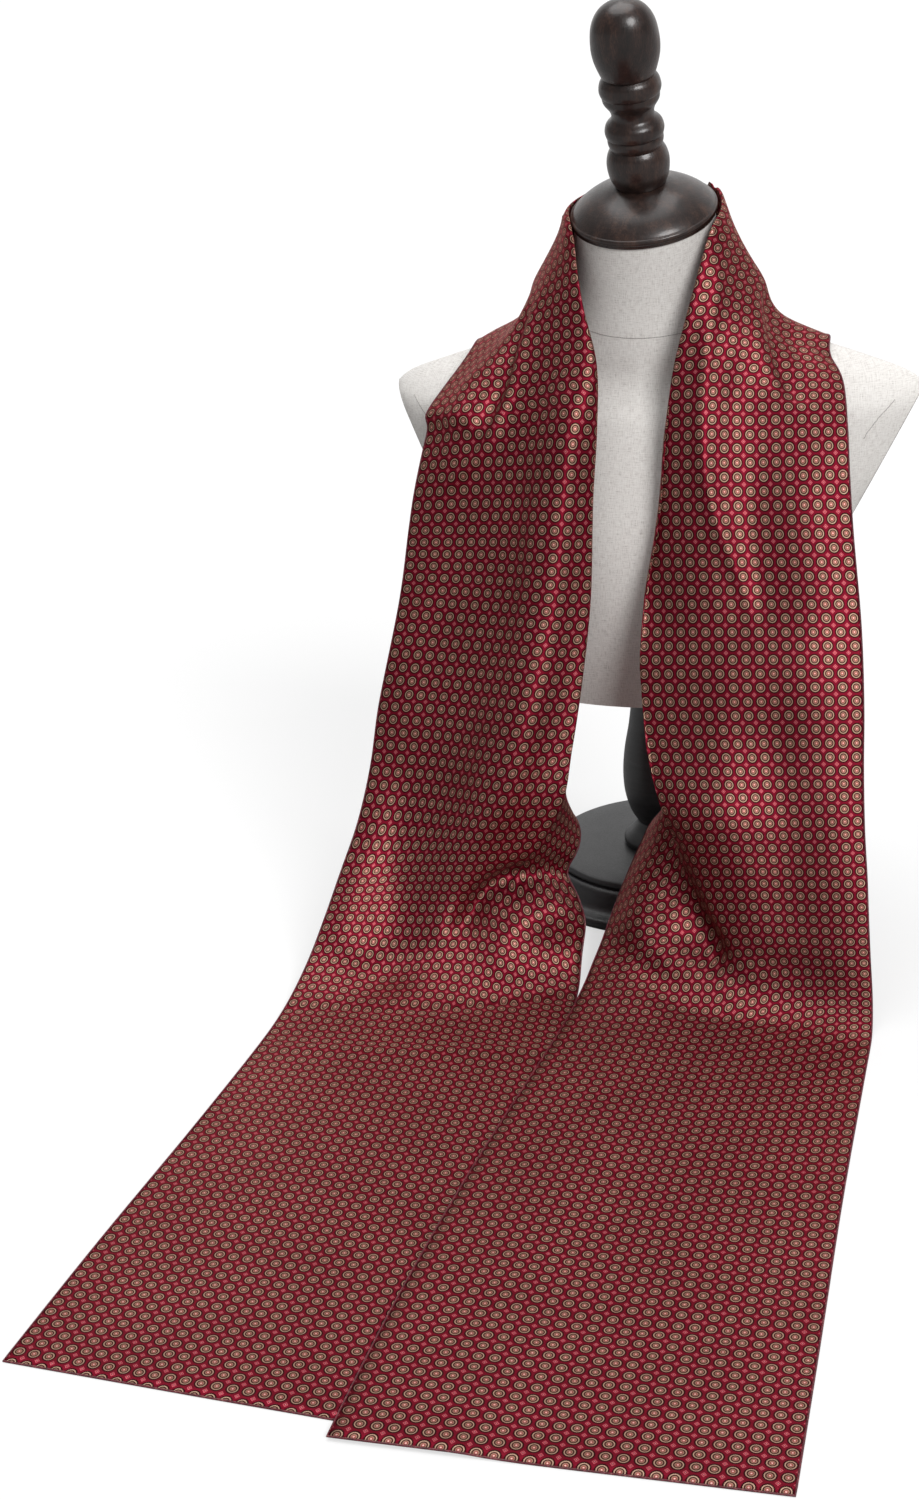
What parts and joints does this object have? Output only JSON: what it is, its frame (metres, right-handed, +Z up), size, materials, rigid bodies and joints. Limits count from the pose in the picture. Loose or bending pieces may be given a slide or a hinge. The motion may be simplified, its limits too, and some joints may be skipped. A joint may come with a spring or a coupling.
{
  "type": "silk scarf on a dress form",
  "caption": "Long silk scarf with a small foulard print, hung round the neck of a limbless linen table dress form, with both ends lying flat in front of its turned wooden stand.",
  "frame": {"origin": "middle of the stand's flat underside, on the surface that the stand and the scarf's ends rest on", "axes": "+Z up; the form faces -Y, where the scarf's ends lie; +X is the form's own left, on the right of the picture"},
  "size_m": [0.509, 0.943, 0.7691],
  "materials": {
    "burgundy_silk": "silk twill with a soft sheen",
    "grey_linen": "matte plain weave",
    "dark_brown_wood": "stained and satin varnished",
    "black_painted_wood": "satin black paint"
  },
  "bodies": {
    "root": {"form_base": "black_painted_wood", "form_pole": "black_painted_wood", "form_bust": "grey_linen", "form_neck_cap": "dark_brown_wood", "form_finial": "dark_brown_wood", "scarf_neck": "burgundy_silk", "scarf_left_front": "burgundy_silk", "scarf_right_front": "burgundy_silk", "scarf_left_end": "burgundy_silk", "scarf_right_end": "burgundy_silk"}
  },
  "joints": []
}
